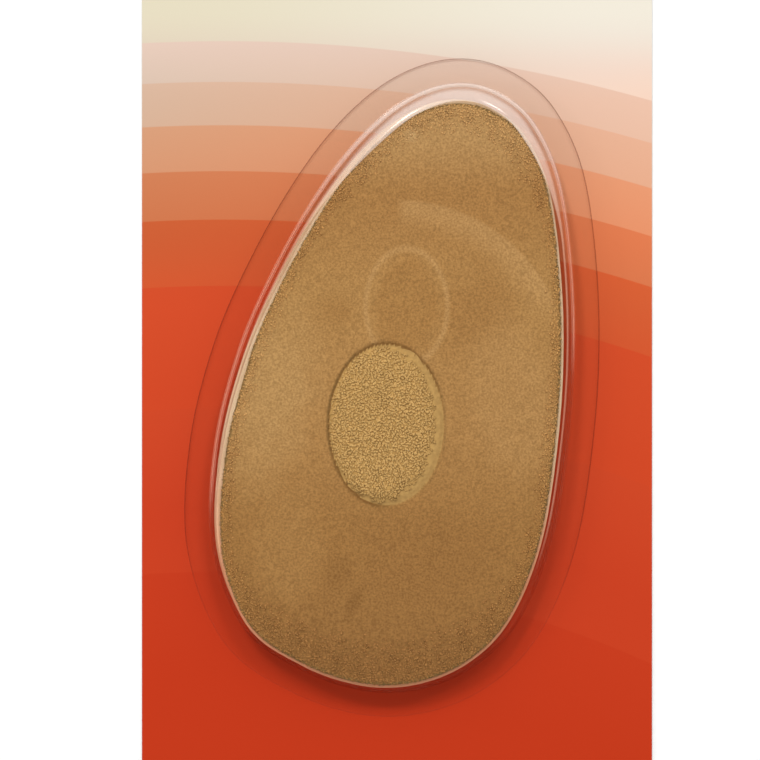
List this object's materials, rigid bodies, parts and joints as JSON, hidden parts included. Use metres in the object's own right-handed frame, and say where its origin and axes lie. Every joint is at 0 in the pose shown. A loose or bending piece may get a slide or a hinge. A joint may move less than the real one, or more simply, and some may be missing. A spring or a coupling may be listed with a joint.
{
  "type": "metatarsal pads on a backing card in a clear blister",
  "caption": "Soft forefoot pads with a brown pile face and cream cushion, back to back in a clear blister with an oval window, fixed to a flat backing card.",
  "frame": {"origin": "centre of the backing card's back face, on the surface that the pack lies on", "axes": "+Z out of the card's printed face, +Y up the card towards the toe end of the pads, +X across the card to the right seen from the front"},
  "size_m": [0.1, 0.18, 0.011],
  "materials": {
    "card": "satin coated face",
    "blister": "clear, glossy",
    "cushion": "matt latex foam",
    "cover": "short brushed pile"
  },
  "bodies": {
    "root": {"card": "card", "blister": "blister", "front_cushion": "cushion", "front_cover": "cover", "back_cushion": "cushion", "back_cover": "cover"}
  },
  "joints": []
}
